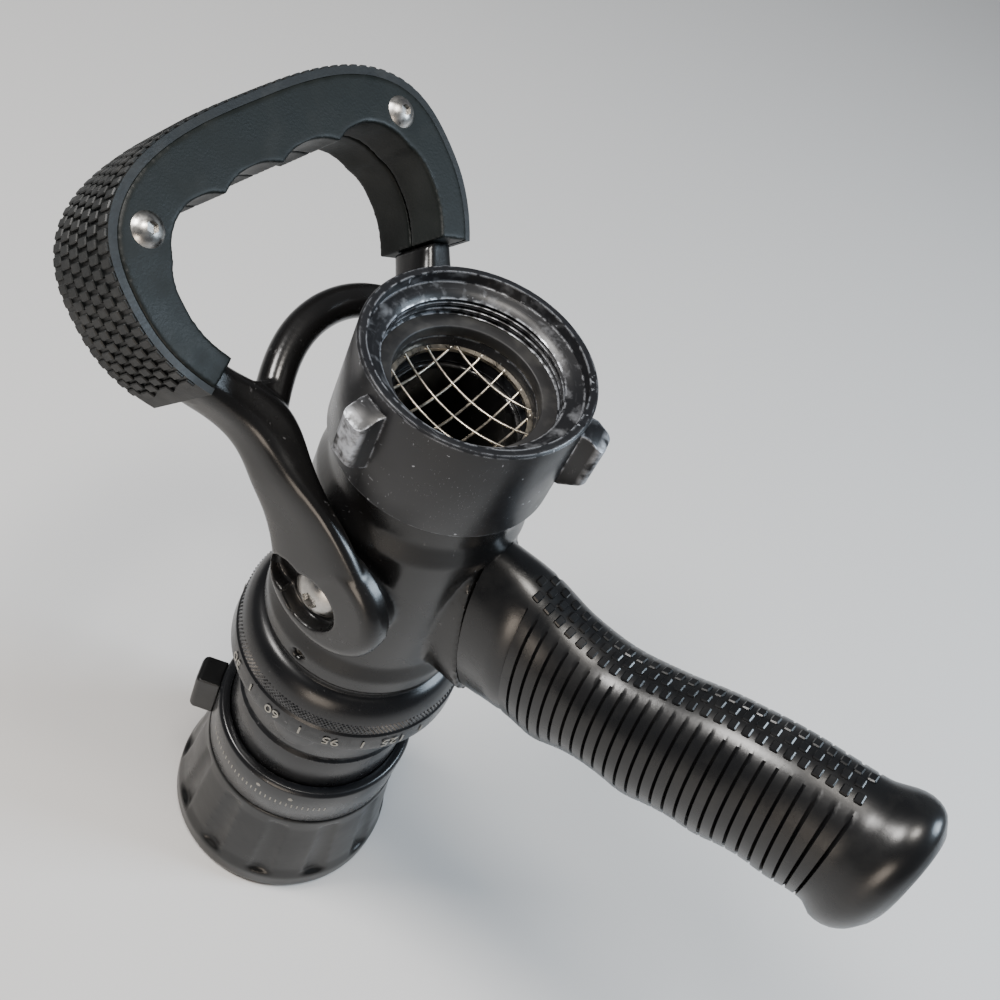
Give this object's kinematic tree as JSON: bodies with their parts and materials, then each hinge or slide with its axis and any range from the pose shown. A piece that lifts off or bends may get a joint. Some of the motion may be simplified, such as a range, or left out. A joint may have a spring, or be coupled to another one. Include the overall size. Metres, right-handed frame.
{
  "type": "fire hose nozzle",
  "caption": "Pistol-grip fire hose nozzle with swivel inlet coupling, ball valve bail handle, flow selector ring and turning pattern sleeve with rubber bumper.",
  "frame": {"origin": "centre of the bumper's front face, on the floor the nozzle stands on", "axes": "+Z along the waterway towards the hose inlet, +X along the pistol grip, the bail handle on the -X side"},
  "size_m": [0.2824, 0.123, 0.2933],
  "materials": {
    "black_casting": "gloss black enamel over cast aluminium, chipped at the edges",
    "black_anodised": "satin black anodising, lightly scratched",
    "worn_anodised": "black anodising worn to bare metal on the edges",
    "cast_core": "bare casting",
    "brass_parts": "machined",
    "white_polymer": "smooth, waxy",
    "stainless": "polished stainless",
    "stainless_wire": "drawn wire",
    "polished_ball": "turned and polished",
    "seal_rubber": "smooth",
    "gasket_rubber": "dull, greyed at the edge",
    "grip_rubber": "semi-gloss moulded rubber",
    "bumper_rubber": "semi-gloss moulded rubber",
    "fog_rubber": "moulded",
    "handle_plastic": "fine matt moulding, grey-green black",
    "tread_rubber": "matt, ribbed"
  },
  "bodies": {
    "valve": {"valve_body": "black_casting", "stem_bush_near": "white_polymer", "stem_bush_far": "white_polymer", "rear_seat": "white_polymer", "front_seat": "white_polymer", "seat_carrier": "black_anodised", "set_screws": "stainless", "barrel": "black_anodised", "detent_ball": "stainless", "detent_spring": "stainless", "flow_spider": "brass_parts", "bearing_balls": "stainless", "swivel_seal": "seal_rubber", "grip_core": "cast_core", "grip_core_screws": "stainless", "pistol_grip": "grip_rubber", "grip_washer": "stainless", "grip_bolt": "stainless"},
    "coupling": {"swivel_coupling": "worn_anodised", "inlet_gasket": "gasket_rubber", "debris_screen": "stainless_wire", "race_plug_screw": "stainless"},
    "bail": {"yoke": "black_casting", "handle_cover_front": "handle_plastic", "handle_cover_rear": "handle_plastic", "handle_tread": "tread_rubber", "handle_screws": "stainless", "handle_nuts": "stainless", "valve_ball": "polished_ball", "valve_stem_near": "stainless", "valve_stem_far": "stainless", "stem_o_rings": "seal_rubber", "pivot_screws": "stainless"},
    "selector": {"selector_ring": "black_anodised"},
    "flow_stem": {"baffle_stem": "stainless", "baffle_head": "stainless", "baffle_screw": "stainless"},
    "sleeve_guide": {"guide_ring": "brass_parts", "guide_pins": "stainless", "guide_seal": "seal_rubber"},
    "sleeve": {"pattern_sleeve": "black_anodised", "sleeve_snap_ring": "stainless", "fog_ring": "fog_rubber", "bumper": "bumper_rubber", "pattern_lug": "bumper_rubber"}
  },
  "joints": [
    {"name": "coupling_swivel", "type": "hinge", "parent": "valve", "child": "coupling", "pos_m": [0, 0, 0.257], "axis": [0, 0, 1], "continuous": true},
    {"name": "bail_lever", "type": "hinge", "parent": "valve", "child": "bail", "pos_m": [0, 0, 0.195], "axis": [0, -1, 0], "range_deg": [0, 90]},
    {"name": "flow_select", "type": "hinge", "parent": "valve", "child": "selector", "pos_m": [0, 0, 0.133], "axis": [0, 0, 1], "range_deg": [0, 120]},
    {"name": "stem_shift", "type": "slide", "parent": "valve", "child": "flow_stem", "axis": [0, 0, 1], "range_m": [0, 0.003]},
    {"name": "pattern_travel", "type": "slide", "parent": "valve", "child": "sleeve_guide", "axis": [0, 0, 1], "range_m": [0, 0.016]},
    {"name": "pattern_turn", "type": "hinge", "parent": "sleeve_guide", "child": "sleeve", "pos_m": [0, 0, 0.05], "axis": [0, 0, 1], "range_deg": [0, 120]}
  ],
  "couplings": [
    {"joint": "stem_shift", "follows": "flow_select", "m_per_rad": 0.0014276},
    {"joint": "pattern_travel", "follows": "pattern_turn", "m_per_rad": 0.0076347}
  ]
}
